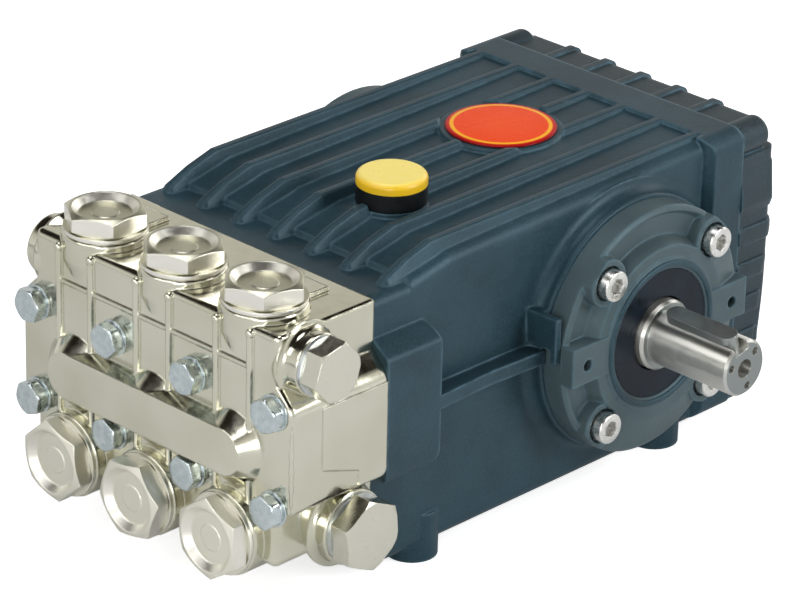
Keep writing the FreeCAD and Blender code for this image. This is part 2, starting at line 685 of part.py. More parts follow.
def shaft_and_seal():
    node(turned("seal_ring", "x", "0", "shaft_y", "shaft_z", [
        ("hub_face - seal_depth", "collar_dia / 2 + seal_gap"),
        ("hub_face - 4", "collar_dia / 2 + seal_gap"),
        ("hub_face - 3", "collar_dia / 2 + 0.9"),
        ("hub_face - 0.6", "collar_dia / 2 + 0.9"),
        ("hub_face - 0.6", "seal_dia / 2"),
        ("hub_face - seal_depth", "seal_dia / 2"),
    ]), "shaft_seal")
    stock = turned("shaft_stock", "x", "0", "shaft_y", "shaft_z", [
        ("boss_face - 29", "0"),
        ("shaft_end", "0"),
        ("shaft_end", "shaft_dia / 2 - shaft_edge"),
        ("shaft_end - shaft_edge", "shaft_dia / 2"),
        ("hub_face + collar_reach", "shaft_dia / 2"),
        ("hub_face + collar_reach", "collar_dia / 2 - 1", "0.4"),
        ("hub_face + collar_reach - 1.4", "collar_dia / 2"),
        ("boss_face - 29", "collar_dia / 2"),
    ])
    key_start = "shaft_end - key_end_gap - key_length"
    seat_z = "shaft_z + shaft_dia / 2 - key_seat_depth"
    straight = "key_length - key_width"

    def rounded_bar(name, height, run):
        """A bar along the shaft with a half-round inner end, from the key seat's floor."""
        bar = block(name + "_bar", key_start + " + key_width / 2", "shaft_y - key_width / 2", seat_z,
                    run, "key_width", height)
        end = rod(name + "_end", "z", key_start + " + key_width / 2", "shaft_y", seat_z,
                  "key_width", height)
        return [bar, end]

    holes = rounded_bar("key_seat", "key_seat_depth + 1", straight + " + key_width / 2 + key_end_gap + 1")
    holes.append(rod("centre_hole", "x", "shaft_end - centre_hole_depth", "shaft_y", "shaft_z",
                     "centre_hole_dia", "centre_hole_depth + 1"))
    for angle in (30, 150, 270):
        across = "shaft_y + end_hole_circle / 2 * cos(%d)" % angle
        up = "shaft_z + end_hole_circle / 2 * sin(%d)" % angle
        holes.append(rod("end_hole_%d" % angle, "x", "shaft_end - end_hole_depth", across, up,
                         "end_hole_dia", "end_hole_depth + 1"))
    node(turn_shaft(cut("shaft_cut", stock, fuse("shaft_holes", holes))), "crankshaft")
    key = rounded_bar("key", "key_height", straight)
    key.append(rod("key_nose", "z", key_start + " + key_length - key_width / 2", "shaft_y", seat_z,
                   "key_width", "key_height"))
    node(turn_shaft(fuse("key_solids", key)), "shaft_key")


FRONT = "-case_front - head_depth"


def head_blocks():
    """The narrow block of the head, the wide flange across it and the raised side lands."""
    narrow = slab("head_narrow", "XZ_Plane", [
        ("-head_width / 2", "head_bottom", "head_round"), ("head_width / 2", "head_bottom", "head_round"),
        ("head_width / 2", "head_top", "head_round / 2"), ("-head_width / 2", "head_top", "head_round / 2"),
    ], "case_front", "head_depth")
    front_y = evaluate(FRONT)
    soften(narrow, "head_round", lambda edge: abs(edge.BoundBox.YMax - front_y) < 0.01)
    wide = slab("head_broad", "XZ_Plane", [
        ("-head_wide / 2", "head_wide_bottom", "head_round"),
        ("head_wide / 2", "head_wide_bottom", "head_round"),
        ("head_wide / 2", "head_wide_top", "3 * head_round"),
        ("head_width / 2 - 0.5", "head_shoulder", "head_round"),
        ("head_width / 2 - 0.5", "head_shoulder + 3"),
        ("-head_width / 2 + 0.5", "head_shoulder + 3"),
        ("-head_width / 2 + 0.5", "head_shoulder", "head_round"),
        ("-head_wide / 2", "head_wide_top", "3 * head_round"),
    ], "case_front", "head_depth")
    soften(wide, "head_round * 0.9", lambda edge: abs(edge.BoundBox.YMax - front_y) < 0.01
           and edge.BoundBox.ZMin < evaluate("head_shoulder + 1"))
    side = slab("head_side", "YZ_Plane", [
        (FRONT + " - 1", "head_wide_bottom - 1"), ("-case_front", "head_wide_bottom - 1", "2 * head_round"),
        ("-case_front", "head_shoulder + 4"), (FRONT + " - 1", "head_shoulder + 4"),
    ], "-head_wide / 2 - 1", "head_wide + 2")
    lands = slab("head_lands", "YZ_Plane", [
        ("-case_front - 34.8", "head_wide_top - 3"), ("-case_front - 34.8", "67", "1"),
        ("-case_front - 15", "60.4", "1"), ("-case_front - 15", "head_wide_bottom + 2"),
        ("-case_front", "head_wide_bottom + 2", "head_round"), ("-case_front", "head_wide_top - 3"),
    ], "-head_wide / 2 - head_step", "head_wide + 2 * head_step")
    return [narrow, common("head_flange_block", wide, side), lands]


def ridge():
    """The land across the head's face, with a cone at each valve."""
    half = "ridge_height / 2"
    bar = slab("ridge_bar", "YZ_Plane", [
        (FRONT + " + 5", "ridge_z - %s - ridge_draft" % half),
        (FRONT + " + 5", "ridge_z + %s + ridge_draft" % half),
        (FRONT, "ridge_z + %s + ridge_draft" % half), (FRONT + " - ridge_rise", "ridge_z + " + half),
        (FRONT + " - ridge_rise", "ridge_z - " + half), (FRONT, "ridge_z - %s - ridge_draft" % half),
    ], "-valve_pitch", "2 * valve_pitch")
    cones = [taper("ridge_cone_%d" % (index + 1), "-y", "valve_pitch * %d" % (index - 1), FRONT + " + 0.01",
                   "ridge_z", "cone_dia", "ridge_height", "ridge_rise + 0.01") for index in range(3)]
    return [bar] + cones


def front_ribs():
    """Thin round ribs beside each valve, joined by one across the face."""
    face = FRONT + " - front_rib_rise + front_rib_dia / 2"
    parts = []
    for index in range(3):
        for name, side in (("left", -1), ("right", 1)):
            across = "valve_pitch * %d + front_rib_spread * %d" % (index - 1, side)
            label = "front_rib_%d_%s" % (index + 1, name)
            parts.append(rod(label, "z", across, face, "suction_z + 5", "front_rib_dia",
                             "front_rib_top - suction_z - 5"))
            parts.append(ball(label + "_bead", across, face, "front_rib_top", "front_rib_dia + 1"))
    parts.append(rod("cross_rib", "x", "-valve_pitch - front_rib_spread", face + " + 0.4", "cross_rib_z",
                     "front_rib_dia - 0.4", "2 * (valve_pitch + front_rib_spread)"))
    return parts


def valve_bosses():
    parts = []
    for index in range(3):
        across = "valve_pitch * %d" % (index - 1)
        parts.append(turned("delivery_boss_%d" % (index + 1), "z", across, "-delivery_y", "head_top", [
            ("-16", "0"), ("delivery_boss_rise", "0"), ("delivery_boss_rise", "delivery_boss_dia / 2", "1.4"),
            ("-7", "delivery_boss_dia / 2"), ("-16", "delivery_boss_dia / 2 - 2"),
        ]))
        parts.append(turned("suction_boss_%d" % (index + 1), "-y", across, FRONT, "suction_z", [
            ("-suction_boss_depth", "0"), ("suction_boss_rise", "0"),
            ("suction_boss_rise", "suction_boss_dia / 2", "1"),
            ("-suction_boss_depth", "suction_boss_dia / 2"),
        ]))
    for index in (0, 2):
        parts.append(block("valve_web_%d" % (index + 1), "valve_pitch * %d - web_width / 2" % (index - 1),
                           "-delivery_y", "head_top - 5", "web_width", "delivery_y - web_end",
                           "5 + web_rise"))
    return parts


def port_bosses():
    parts = []
    for port in ("outlet", "inlet"):
        for name, axis, sign in (("left", "-x", "-"), ("right", "x", "")):
            radius = port + "_boss_dia / 2"
            parts.append(turned("%s_boss_%s" % (port, name), axis, sign + "head_width / 2",
                                "-%s_y" % port, "%s_z" % port, [
                                    ("-8", "0"),
                                    (port + "_boss_rise", "0"),
                                    (port + "_boss_rise", radius, "0.8"),
                                    ("0", radius, "3"),
                                    ("0", radius + " + 3.1"),
                                    ("-1", radius + " + 3.1"),
                                    ("-8", radius),
                                ]))
    return parts


def manifold():
    whole = fuse("head_solids", head_blocks() + ridge() + front_ribs() + valve_bosses() + port_bosses())
    behind = block("head_behind", "-head_wide", "-case_front", "0", "2 * head_wide", "40", "2 * head_top")
    above = [block("head_above_%s" % name, x, FRONT, "head_top", "10", "head_depth", "20")
             for name, x in (("left", "-head_width / 2 - 10"), ("right", "head_width / 2"))]
    node(cut("head_casting", whole, fuse("head_limits", [behind] + above)), "manifold")


def cap(name, axis, x, y, z, turn, label):
    """A hexagon cap with a round flange under it and a dished face."""
    rim = "cap_flange + cap_hex"
    corner = "cap_flats / sqrt(3)"
    flange = rod(name + "_flange", axis, x, y, z, "cap_flange_dia", "cap_flange")
    bar = hexagon(name + "_hex", axis, x, y, z, "cap_flats", rim, turn)
    envelope = turned(name + "_bevel", axis, x, y, z, [
        ("0", "0"), (rim + " - cap_dish + 0.3", "0"), (rim + " - cap_dish + 0.3", "cap_dish_dia / 4"),
        (rim + " - cap_dish", "cap_dish_dia / 4 + 0.3"),
        (rim + " - cap_dish", "cap_dish_dia / 2", "0.8"),
        (rim, "cap_dish_dia / 2 + 2.6"), (rim, "cap_flats / 2 - 0.8"),
        (rim + " - 1.5", corner), ("cap_flange + 1.2", corner), ("cap_flange", "cap_flats / 2"),
        ("0", "cap_flats / 2"),
    ])
    node(fuse(name + "_whole", [flange, common(name + "_nut", bar, envelope)]), label)


def valve_caps():
    for index in range(3):
        across = "valve_pitch * %d" % (index - 1)
        cap("delivery_cap_%d" % (index + 1), "z", across, "-delivery_y", "head_top + delivery_boss_rise",
            (-32, -38, -45)[index], "delivery_valve_cap_%d" % (index + 1))
        cap("suction_cap_%d" % (index + 1), "-y", across, FRONT + " - suction_boss_rise",
            "suction_z", (12, 40, 5)[index], "suction_valve_cap_%d" % (index + 1))


def port_plugs():
    for port, turn in (("outlet", 42), ("inlet", 5)):
        for side, axis, sign in (("right", "x", ""), ("left", "-x", "-")):
            seat = "%s(head_width / 2 + %s_boss_rise)" % (sign, port)
            head = "%s(head_width / 2 + %s_boss_rise + washer_thick)" % (sign, port)
            where = ("-%s_y" % port, "%s_z" % port)
            washer = turned("%s_washer_%s_ring" % (port, side), axis, seat, *where,
                            ring("0", port + "_flats / 2 - 5", port + "_flats / 2 + washer_rim",
                                 "washer_thick"))
            node(washer, "%s_washer_%s" % (port, side))
            bar = hexagon("%s_%s_hex" % (port, side), axis, head, *where,
                          port + "_flats", port + "_hex", turn)
            envelope = turned("%s_%s_bevel" % (port, side), axis, head, *where, [
                ("0", "0"), (port + "_hex", "0"), (port + "_hex", port + "_flats / 2 + 0.4"),
                (port + "_hex - 0.9", port + "_flats / sqrt(3)"), ("0", port + "_flats / sqrt(3)"),
            ])
            node(common("%s_%s_plug" % (port, side), bar, envelope), "%s_plug_%s" % (port, side))


def oil_fittings():
    node(turned("filler_ring", "z", "filler_x", "-filler_y", "filler_seat",
                ring("0", "0", "filler_dia / 2", "filler_base")), "filler_cap_base")
    node(turned("filler_top", "z", "filler_x", "-filler_y", "filler_seat + filler_base", [
        ("0", "0"),
        ("filler_lid", "0"),
        ("filler_lid", "filler_dia / 2", "filler_lid / 2"),
        ("0", "filler_dia / 2"),
    ]), "oil_filler_cap")
    back = "case_rear + rear_cover_thick + fitting_boss_rise"
    node(turned("gauge_glass", "y", "0", back, "shaft_z", [
        ("0", "0"), ("gauge_rise - 1", "0"), ("gauge_rise - 1", "gauge_dia / 2 - 4"),
        ("gauge_rise", "gauge_dia / 2 - 3"), ("gauge_rise", "gauge_dia / 2", "0.8"), ("0", "gauge_dia / 2"),
    ]), "oil_sight_glass")
    node(hexagon("drain_hex", "y", "0", back, "drain_z", "drain_flats", "drain_rise"), "oil_drain_plug")


crankcase()
rear_cover()
bearing_covers()
shaft_and_seal()
manifold()
valve_caps()
port_plugs()
oil_fittings()
doc.recompute()

for thing in doc.Objects:
    if "Invalid" in thing.State or "Error" in thing.State:
        raise RuntimeError("%s failed: %s" % (thing.Name, thing.State))
for thing in nodes:
    if thing.Shape.isNull() or not thing.Shape.isValid():
        raise RuntimeError("%s has no valid shape" % thing.Label)

os.makedirs("parts", exist_ok=True)
for thing in nodes:
    thing.Shape.exportStep("parts/%s.step" % thing.Label)
    print("%-24s %d solid(s) %9.0f mm3" % (thing.Label, len(thing.Shape.Solids), thing.Shape.Volume))
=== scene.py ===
import bpy
import math
import numpy as np
from mathutils import Matrix


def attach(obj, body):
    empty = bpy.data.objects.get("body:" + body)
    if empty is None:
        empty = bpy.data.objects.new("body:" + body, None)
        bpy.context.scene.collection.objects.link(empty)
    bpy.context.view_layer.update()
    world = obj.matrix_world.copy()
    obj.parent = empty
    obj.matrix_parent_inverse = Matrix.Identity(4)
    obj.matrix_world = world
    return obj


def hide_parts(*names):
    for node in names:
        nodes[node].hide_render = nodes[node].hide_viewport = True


# High-pressure plunger pump: finishes for the solids of the frame, and the small parts bolted to them.
# Lengths in this file are in millimetres, except where a call needs metres.

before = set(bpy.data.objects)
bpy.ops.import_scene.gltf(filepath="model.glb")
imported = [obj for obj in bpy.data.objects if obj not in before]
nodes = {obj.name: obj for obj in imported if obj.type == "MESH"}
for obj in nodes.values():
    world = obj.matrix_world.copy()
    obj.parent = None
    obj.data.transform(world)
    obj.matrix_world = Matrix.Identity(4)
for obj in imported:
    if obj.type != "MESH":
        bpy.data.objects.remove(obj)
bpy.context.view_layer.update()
MM = 0.001

# Axes of the solids that turned finishes and small parts are centred on
SHAFT_Y, SHAFT_Z = 36, 72.5
VALVE_PITCH = 45.0
DELIVERY_CAP_Y, SUCTION_CAP_Z = -142.7, 35.8
OUTLET_Y, OUTLET_Z = -144.0, 112.2
INLET_Y, INLET_Z = -123.7, 35.6
DISC_Y = 36.1

# Head bolts, in the head's front face. Their turns in degrees are as the last tightening left them.
BOLT_SEAT_Y = -158.8
BOLT_COLUMNS = (-67.5, -22.5, 22.5, 67.5)
BOLT_ROWS = (94.1, 53.1)
BOLT_TURNS = (8, 20, 47, 33, 12, 52, 25, 40)

# Bearing cover screws, four a side: their seats, the circle that they stand on and their heads' height
SCREW_SEAT_X = 87.4
SCREW_CIRCLE = 89.4
SCREW_RISE = 7.6

# Pads on the rear cover's corners: the height of the highest pad's middle, and the step to the next
PAD_TOP = 86.5
PAD_STEP = 16

# A noise keeps to the middle of its range, and these two bands of it are spread over the whole of another.
MIDDLE = {"From_Min": 0.32, "From_Max": 0.68}
WIDER_MIDDLE = {"From_Min": 0.3, "From_Max": 0.7}


def add_object(name, data):
    """An object of the scene, at the origin, unturned."""
    made = bpy.data.objects.new(name, data)
    bpy.context.scene.collection.objects.link(made)
    return made


# Camera: a long lens that looks down at the head's right front corner.
def place_camera():
    azimuth, elevation, roll = math.radians(43.87), math.radians(24.99), math.radians(1.39)
    back = np.array([math.sin(azimuth) * math.cos(elevation), -math.cos(azimuth) * math.cos(elevation),
                     math.sin(elevation)])
    level = np.array([math.cos(azimuth), math.sin(azimuth), 0.0])
    right = math.cos(roll) * level + math.sin(roll) * np.cross(back, level)
    where = (1.13559, -1.20281, 0.83886)
    matrix = np.eye(4)
    matrix[:3, 0], matrix[:3, 1], matrix[:3, 2], matrix[:3, 3] = right, np.cross(back, right), back, where
    data = bpy.data.cameras.new("camera")
    data.sensor_fit = "HORIZONTAL"
    data.sensor_width = 36
    data.lens = 198.45
    data.clip_start, data.clip_end = 0.05, 20
    camera = add_object("camera", data)
    camera.matrix_world = Matrix(matrix)
    bpy.context.scene.camera = camera


# Materials
def colour(text):
    """Linear RGBA of an sRGB hex value."""
    parts = np.array([int(text[i:i + 2], 16) / 255 for i in (1, 3, 5)])
    linear = np.where(parts <= 0.04045, parts / 12.92, ((parts + 0.055) / 1.055) ** 2.4)
    return (*linear, 1.0)


def add(tree, kind, **settings):
    """Adds a node. A keyword sets the property or input of that name, in0 the first input, and so on.
    An output given as a value is linked, a node stands for its first output, and a hex text is a colour."""
    made = tree.nodes.new("ShaderNode" + kind)
    for key, value in settings.items():
        if hasattr(made, key):
            setattr(made, key, value)
            continue
        place = made.inputs[int(key[2:]) if key[:2] == "in" else key.replace("_", " ")]
        value = value.outputs[0] if isinstance(value, bpy.types.Node) else value
        if isinstance(value, bpy.types.NodeSocket):
            tree.links.new(value, place)
        else:
            place.default_value = colour(value) if isinstance(value, str) else value
    return made


def emptied_tree(owner):
    """The node tree of a material or world, with no node in it."""
    owner.use_nodes = True
    owner.node_tree.nodes.clear()
    return owner.node_tree


def new_material(name, **settings):
    """A material with one Principled shader: its node tree, the shader and Object coordinates."""
    material = bpy.data.materials.new(name)
    tree = emptied_tree(material)
    shader = add(tree, "BsdfPrincipled", **settings)
    add(tree, "OutputMaterial", Surface=shader)
    return material, tree, shader, add(tree, "TexCoord").outputs["Object"]


def finish(tree, shader, base, roughness, normal):
    """Joins the worked-out colour, roughness and normal to the shader."""
    tree.links.new(base, shader.inputs["Base Color"])
    tree.links.new(roughness, shader.inputs["Roughness"])
    tree.links.new(normal, shader.inputs["Normal"])


def enamelled_cast_aluminium(name, low, high):
    """Sand-cast aluminium under satin blue-grey stoving enamel.
    The sand leaves a pebbled skin of about a millimetre. Edges turn to a paler, bluer line: a little of it
    rubbed paint, most of it a painted highlight of the sheen that edges catch."""
    material, tree, shader, place = new_material(name, IOR=1.5, Specular_IOR_Level=0.45,
                                                 Specular_Tint="#c4e4f6")
    cloud = add(tree, "TexNoise", Vector=place, Scale=1 / (30 * MM), Detail=4.0)
    pebble = add(tree, "TexNoise", Vector=place, Scale=1 / (1.1 * MM), Detail=4.0, Roughness=0.62)
    swell = add(tree, "TexNoise", Vector=place, Scale=1 / (7 * MM), Detail=2.0)
    tone = add(tree, "MapRange", Value=cloud, **MIDDLE)
    base = add(tree, "Mix", data_type="RGBA", Factor=tone, in6=low, in7=high)
    speck = add(tree, "MapRange", Value=pebble, From_Min=0.45, From_Max=0.75, To_Max=0.25)
    dusted = add(tree, "Mix", data_type="RGBA", Factor=speck, in6=base.outputs[2], in7="#4a626d")
    # Paler, bluer edges in broken patches: partly rubbed paint, mostly a painted highlight.
    soft = add(tree, "Bevel", samples=8, Radius=2.6 * MM)
    turn = add(tree, "VectorMath", operation="DOT_PRODUCT", in0=soft,
               in1=add(tree, "NewGeometry").outputs["Normal"])
    edge_wear_and_highlight = add(tree, "MapRange", Value=turn.outputs["Value"], From_Min=1.0, From_Max=0.75)
    broken = add(tree, "MapRange", Value=swell, From_Min=0.35, From_Max=0.65, To_Min=0.2, To_Max=0.65)
    wear_and_highlight_amount = add(tree, "Math", operation="MULTIPLY", in0=edge_wear_and_highlight, in1=broken)
    with_wear_and_highlight = add(tree, "Mix", data_type="RGBA", Factor=wear_and_highlight_amount, in6=dusted.outputs[2], in7="#5f7f8e")
    roughness = add(tree, "MapRange", Value=pebble, To_Min=0.34, To_Max=0.5, **WIDER_MIDDLE)
    rounded = add(tree, "Bevel", samples=8, Radius=1.5 * MM)
    grain = add(tree, "Bump", Height=pebble, Normal=rounded, Strength=0.5, Distance=0.2 * MM)
    waves = add(tree, "Bump", Height=swell, Normal=grain, Strength=0.3, Distance=0.3 * MM)
    finish(tree, shader, with_wear_and_highlight.outputs[2], roughness.outputs[0], waves.outputs[0])
    return material


def nickel_plated_forged_brass():
    """Hot-forged brass under bright nickel: a warm mirror, with the slow ripple of the forged skin."""
    material, tree, shader, place = new_material("nickel_plated_forged_brass", Metallic=1.0)
    cloud = add(tree, "TexNoise", Vector=place, Scale=1 / (24 * MM), Detail=3.0)
    ripple = add(tree, "TexNoise", Vector=place, Scale=1 / (6 * MM), Detail=2.0)
    skin = add(tree, "TexNoise", Vector=place, Scale=1 / (0.9 * MM), Detail=3.0)
    tone = add(tree, "MapRange", Value=cloud, **MIDDLE)
    base = add(tree, "Mix", data_type="RGBA", Factor=tone, in6="#c8c6b4", in7="#d1d0c1")
    roughness = add(tree, "MapRange", Value=ripple, To_Min=0.1, To_Max=0.2, **WIDER_MIDDLE)
    rounded = add(tree, "Bevel", samples=6, Radius=1.1 * MM)
    slow = add(tree, "Bump", Height=ripple, Normal=rounded, Strength=0.3, Distance=0.2 * MM)
    fine = add(tree, "Bump", Height=skin, Normal=slow, Strength=0.12, Distance=0.05 * MM)
    finish(tree, shader, base.outputs[2], roughness.outputs[0], fine.outputs[0])
    return material


def lathe_turned(name, centre, axis, rim, face, low, high, pitch, depth, edge, lines=0.0):
    """Metal faced on a lathe: rings of the tool's feed about an axis through centre, on faces square to it.
    The faces have the colour face and all else the colour rim, and roughness goes from low to high.
    Rings a pitch apart are depth deep, where a real feed of about 0.2 mm wouldn't show.
    Faces round an x axis may keep the fine lines of a grinding wheel. They run round the axis and draw
    reflections out along it."""
    material, tree, shader, place = new_material(name, Metallic=1.0)
    tilt = {"x": (0, math.radians(90), 0), "y": (math.radians(90), 0, 0), "z": (0, 0, 0)}[axis]
    local = add(tree, "Mapping", vector_type="TEXTURE", Vector=place,
                Location=[value * MM for value in centre], Rotation=tilt)
    repeat = 0.314  # units from ring to ring at a scale of 1
    rings = add(tree, "TexWave", wave_type="RINGS", rings_direction="Z", Vector=local,
                Scale=repeat / (pitch * MM), Distortion=0.3, Detail=1.0)
    normal = add(tree, "SeparateXYZ", Vector=add(tree, "TexCoord").outputs["Normal"])
    size = add(tree, "Math", operation="ABSOLUTE", in0=normal.outputs["xyz".index(axis)])
    square = add(tree, "MapRange", Value=size, From_Min=0.6, From_Max=0.95)
    cut = add(tree, "Math", operation="MULTIPLY", in0=rings, in1=square)
    ground = add(tree, "MapRange", Value=square, To_Min=lines, To_Max=0.0)
    tree.links.new(ground.outputs[0], shader.inputs["Anisotropic"])
    tree.links.new(add(tree, "CombineXYZ", X=1.0, Y=0.02).outputs[0], shader.inputs["Tangent"])
    smear = add(tree, "TexNoise", Vector=place, Scale=1 / (3 * MM), Detail=3.0)
    base = add(tree, "Mix", data_type="RGBA", Factor=square, in6=rim, in7=face)
    roughness = add(tree, "MapRange", Value=smear, To_Min=low, To_Max=high, **WIDER_MIDDLE)
    rounded = add(tree, "Bevel", samples=6, Radius=edge * MM)
    ridges = add(tree, "Bump", Height=cut, Normal=rounded, Strength=0.35, Distance=depth * MM)
    dents = add(tree, "Bump", Height=smear, Normal=ridges, Strength=0.1, Distance=0.06 * MM)
    finish(tree, shader, base.outputs[2], roughness.outputs[0], dents.outputs[0])
    return material


def drawn_or_moulded(name, first, second, low, high, patch, grain, depth, edge, **settings):
    """Two close colours in patches, a roughness from low to high that follows them, and a fine grain.
    Patch and grain are their sizes, depth is the grain's, and edge is the radius that edges seem to have."""
    material, tree, shader, place = new_material(name, **settings)
    cloud = add(tree, "TexNoise", Vector=place, Scale=1 / (patch * MM), Detail=3.0)
    skin = add(tree, "TexNoise", Vector=place, Scale=1 / (grain * MM), Detail=3.0)
    tone = add(tree, "MapRange", Value=cloud, **MIDDLE)
    base = add(tree, "Mix", data_type="RGBA", Factor=tone, in6=first, in7=second)
    roughness = add(tree, "MapRange", Value=cloud, To_Min=low, To_Max=high, **MIDDLE)
    rounded = add(tree, "Bevel", samples=6, Radius=edge * MM)
    bump = add(tree, "Bump", Height=skin, Normal=rounded, Strength=0.35, Distance=depth * MM)
    finish(tree, shader, base.outputs[2], roughness.outputs[0], bump.outputs[0])
    return material


def yellow_nylon():
    """Injection-moulded nylon: glossy on its side and scuffed a little on its top. Upward faces are painted
    paler and the side a deeper yellow, a painted highlight of the light from above.
    """
    material, tree, shader, place = new_material("moulded_yellow_nylon", IOR=1.53)
    scuff = add(tree, "TexNoise", Vector=place, Scale=1 / (5 * MM), Detail=4.0)
    normal = add(tree, "SeparateXYZ", Vector=add(tree, "TexCoord").outputs["Normal"])
    # Paler on upward faces: a painted highlight from the light above.
    top = add(tree, "MapRange", Value=normal.outputs["Z"], From_Min=0.5, From_Max=1.0)
    base = add(tree, "Mix", data_type="RGBA", Factor=top, in6="#f2c41b", in7="#ffe87a")
    roughness = add(tree, "MapRange", Value=scuff, To_Min=0.26, To_Max=0.42, **WIDER_MIDDLE)
    rounded = add(tree, "Bevel", samples=6, Radius=0.5 * MM)
    bump = add(tree, "Bump", Height=scuff, Normal=rounded, Strength=0.3, Distance=0.08 * MM)
    finish(tree, shader, base.outputs[2], roughness.outputs[0], bump.outputs[0])
    return material


def ringed(name, centre, flat, bands, low, high, **settings):
    """Moulded in rings of colour: the colour follows the distance from an axis through centre, in decimetres.
    The axis is the one along which flat holds 0. Bands are pairs of that distance and a hex colour."""
    material, tree, shader, place = new_material(name, **settings)
    local = add(tree, "Mapping", vector_type="TEXTURE", Vector=place,
                Location=[value * MM for value in centre])
    radial = add(tree, "VectorMath", operation="MULTIPLY", in0=local, in1=flat)
    radius = add(tree, "VectorMath", operation="LENGTH", in0=radial)
    decimetres = add(tree, "Math", operation="MULTIPLY", in0=radius.outputs["Value"], in1=10.0)
    rings = add(tree, "ValToRGB", Fac=decimetres)
    ramp = rings.color_ramp
    for stop, (position, shade) in zip(ramp.elements, (bands[0], bands[-1])):
        stop.position, stop.color = position, colour(shade)
    for position, shade in bands[1:-1]:
        ramp.elements.new(position).color = colour(shade)
    cloud = add(tree, "TexNoise", Vector=place, Scale=1 / (9 * MM), Detail=3.0)
    roughness = add(tree, "MapRange", Value=cloud, To_Min=low, To_Max=high, **WIDER_MIDDLE)
    rounded = add(tree, "Bevel", samples=6, Radius=0.4 * MM)
    bump = add(tree, "Bump", Height=cloud, Normal=rounded, Strength=0.2, Distance=0.1 * MM)
    finish(tree, shader, rings.outputs[0], roughness.outputs[0], bump.outputs[0])
    return material


# Shapes. Each axis has two directions across it and its own, right-handed.
AXES = {"x": ((0, 1, 0), (0, 0, 1), (1, 0, 0)), "-x": ((0, -1, 0), (0, 0, 1), (-1, 0, 0)),
        "-y": ((1, 0, 0), (0, 0, 1), (0, -1, 0)), "z": ((1, 0, 0), (0, 1, 0), (0, 0, 1))}


def turned(profile, axis, centre, steps=72, flats=None, turn=0.0, socket=None):
    """Points (angle, station): the profile's radius at its height, carried once round an axis from centre.
    With flats, a radius is cut down to a hexagon's: half the flats over the cosine of the angle from the
    nearest flat's middle. With socket, the first stations up to its count are cut by that hexagon instead,
    and as such a profile runs from the top down, the angles run backwards to keep its faces outward."""
    u, v, w = (np.array(vector, float) for vector in AXES[axis])
    angle = np.linspace(0, 2 * np.pi, steps, endpoint=False)
    height, radius = (np.tile(column, (steps, 1)) for column in np.array(profile, float).T)
    off = np.radians(np.abs((np.degrees(angle) - turn) % 60 - 30))
    if flats:
        radius = np.minimum(radius, (flats / 2 / np.cos(off))[:, None])
    if socket:
        radius[:, :socket] = radius[:, :socket] / np.cos(off)[:, None]
    around = np.cos(angle)[:, None, None] * u + np.sin(angle)[:, None, None] * v
    points = np.array(centre, float) + radius[..., None] * around + height[..., None] * w
    return points[::-1] if socket else points


def skin(grid):
    """Quads over a grid (angle, station) closed round the angle. A profile that ends where it starts makes
    a ring, and any other gets a fan to a pole at each end."""
    ring = np.allclose(grid[:, 0], grid[:, -1])
    grid = grid[:, :-1] if ring else grid
    steps, stations = grid.shape[:2]
    index = np.arange(steps * stations).reshape(steps, stations)
    index = np.column_stack([index, index[:, 0]]) if ring else index
    following = np.roll(index, -1, axis=0)
    corners = [index[:, :-1], following[:, :-1], following[:, 1:], index[:, 1:]]
    quads = np.stack(corners, -1).reshape(-1, 4)
    if ring:
        return grid.reshape(-1, 3), [quads]
    count = steps * stations
    first = np.column_stack([following[:, 0], index[:, 0], np.full(steps, count)])
    last = np.column_stack([index[:, -1], following[:, -1], np.full(steps, count + 1)])
    points = np.vstack([grid.reshape(-1, 3), grid[:, 0].mean(axis=0), grid[:, -1].mean(axis=0)])
    return points, [quads, first, last]


def build(name, grids, material, smooth=35):
    """One piece from several closed grids, in metres, with edges kept sharp above an angle in degrees."""
    made = [skin(grid) for grid in grids]
    starts = np.cumsum([0] + [len(points) for points, faces in made])
    faces = [face for (points, blocks), start in zip(made, starts) for block in blocks
             for face in (block + start).tolist()]
    mesh = bpy.data.meshes.new(name)
    mesh.from_pydata((np.vstack([points for points, blocks in made]) * MM).tolist(), [], faces)
    mesh.validate()
    mesh.polygons.foreach_set("use_smooth", np.ones(len(mesh.polygons), bool))
    mesh.set_sharp_from_angle(angle=math.radians(smooth))
    mesh.materials.append(material)
    piece = add_object(name, mesh)
    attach(piece, "pump_body")
    return piece


# Small parts. A profile is pairs of height along the axis and radius.
def head_bolt(x, z, turn):
    """Thin plain washer, spring washer, then a chamfered hexagon head 13 across flats."""
    at = (x, BOLT_SEAT_Y, z)
    washer = [(0, 3), (0, 7.2), (0.15, 7.45), (0.75, 7.45), (0.9, 7.2), (0.9, 3)]
    spring = [(0.9, 3), (0.9, 6.4), (1.05, 6.6), (2.05, 6.6), (2.2, 6.4), (2.2, 3)]
    head = [(2.2, 3), (2.2, 6.9), (2.4, 7.5), (5.7, 7.5), (6.1, 7.15), (6.45, 6.7), (6.7, 6.25), (6.8, 5.9),
            (6.8, 5.0), (6.74, 3.6), (6.74, 1.5)]
    return [turned(washer, "-y", at), turned(spring, "-y", at), turned(head, "-y", at, 96, 13.0, turn)]


def cap_screw(axis, at, turn):
    """A cylinder head 13 across with rounded rim and a 6 mm hexagon socket, 4.2 deep."""
    floor, edge = SCREW_RISE - 4.2, SCREW_RISE - 0.45
    head = [(floor, 0.01), (floor, 3.0), (edge, 3.0), (SCREW_RISE, 3.3), (SCREW_RISE, 5.75),
            (SCREW_RISE - 0.12, 6.15), (edge, 6.42), (SCREW_RISE - 0.9, 6.5), (0, 6.5)]
    return turned(head, axis, at, 72, turn=turn, socket=4)


